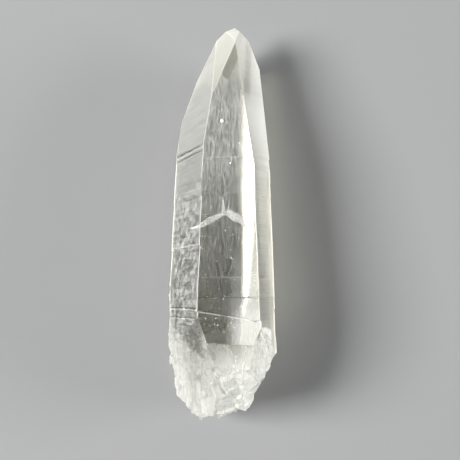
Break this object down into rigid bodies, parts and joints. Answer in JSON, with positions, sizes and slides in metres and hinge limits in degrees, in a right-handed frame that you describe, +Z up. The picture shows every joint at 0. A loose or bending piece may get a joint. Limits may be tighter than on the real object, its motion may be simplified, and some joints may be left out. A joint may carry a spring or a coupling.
{
  "type": "lemurian quartz crystal",
  "caption": "Clear tapered quartz point with striated prism faces, a faceted tip and a rough broken base, lying on one prism face.",
  "frame": {"origin": "middle of the crystal's bounding box, on the plane of the prism face it lies on", "axes": "+Z up from the prism face it lies on, +Y along the growth axis from the broken base to the tip, +X across"},
  "size_m": [0.0244, 0.0856, 0.019],
  "materials": {
    "clear_quartz": "clear natural quartz, glossy finely striated prism faces, partly frosted, milky where the base is fractured"
  },
  "bodies": {
    "root": {"crystal": "clear_quartz"}
  },
  "joints": []
}
